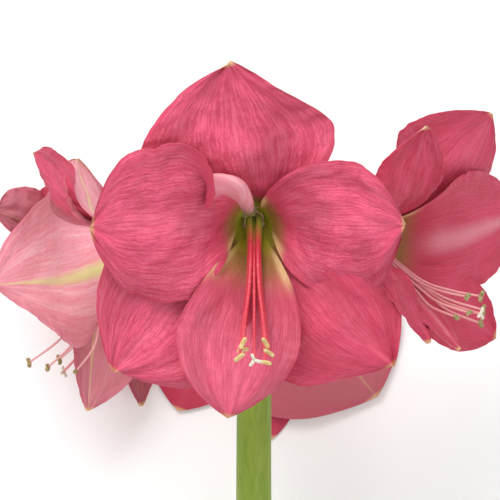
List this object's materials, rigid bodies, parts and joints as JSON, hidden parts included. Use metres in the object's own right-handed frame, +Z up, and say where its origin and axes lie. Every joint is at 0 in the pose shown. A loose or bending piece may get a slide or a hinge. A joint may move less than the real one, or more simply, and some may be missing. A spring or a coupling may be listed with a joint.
{
  "type": "cut amaryllis",
  "caption": "Cut amaryllis lying on its side: a thick hollow green stem topped by an umbel of large open trumpet flowers with pink petals, curved stamens and papery bracts.",
  "frame": {"origin": "centre of the bounding box's underside, on the surface the stem lies on", "axes": "+Y along the stem from its cut end towards the flowers, +Z up, +X to the right of the front flower's face as it is seen from above"},
  "size_m": [0.3468, 0.5792, 0.2734],
  "materials": {
    "stem": "smooth waxy green skin",
    "pedicel": "smooth green skin",
    "petal": "soft satin, veined",
    "stamen": "smooth, satin",
    "bract": "dry papery skin"
  },
  "bodies": {
    "root": {"stem": "stem", "bract_front": "bract", "bract_back": "bract", "front_pedicel": "pedicel", "front_petal_top": "petal", "front_petal_upper_right": "petal", "front_petal_lower_right": "petal", "front_petal_bottom": "petal", "front_petal_lower_left": "petal", "front_petal_upper_left": "petal", "front_stamen_1": "stamen", "front_stamen_2": "stamen", "front_stamen_3": "stamen", "front_stamen_4": "stamen", "front_stamen_5": "stamen", "front_stamen_6": "stamen", "front_style": "stamen", "right_pedicel": "pedicel", "right_petal_top": "petal", "right_petal_upper_right": "petal", "right_petal_lower_right": "petal", "right_petal_bottom": "petal", "right_petal_lower_left": "petal", "right_petal_upper_left": "petal", "right_stamen_1": "stamen", "right_stamen_2": "stamen", "right_stamen_3": "stamen", "right_stamen_4": "stamen", "right_stamen_5": "stamen", "right_stamen_6": "stamen", "right_style": "stamen", "left_pedicel": "pedicel", "left_petal_top": "petal", "left_petal_upper_right": "petal", "left_petal_lower_right": "petal", "left_petal_bottom": "petal", "left_petal_lower_left": "petal", "left_petal_upper_left": "petal", "left_stamen_1": "stamen", "left_stamen_2": "stamen", "left_stamen_3": "stamen", "left_stamen_4": "stamen", "left_stamen_5": "stamen", "left_stamen_6": "stamen", "left_style": "stamen", "back_pedicel": "pedicel", "back_petal_top": "petal", "back_petal_upper_right": "petal", "back_petal_lower_right": "petal", "back_petal_bottom": "petal", "back_petal_lower_left": "petal", "back_petal_upper_left": "petal", "back_stamen_1": "stamen", "back_stamen_2": "stamen", "back_stamen_3": "stamen", "back_stamen_4": "stamen", "back_stamen_5": "stamen", "back_stamen_6": "stamen", "back_style": "stamen"}
  },
  "joints": []
}
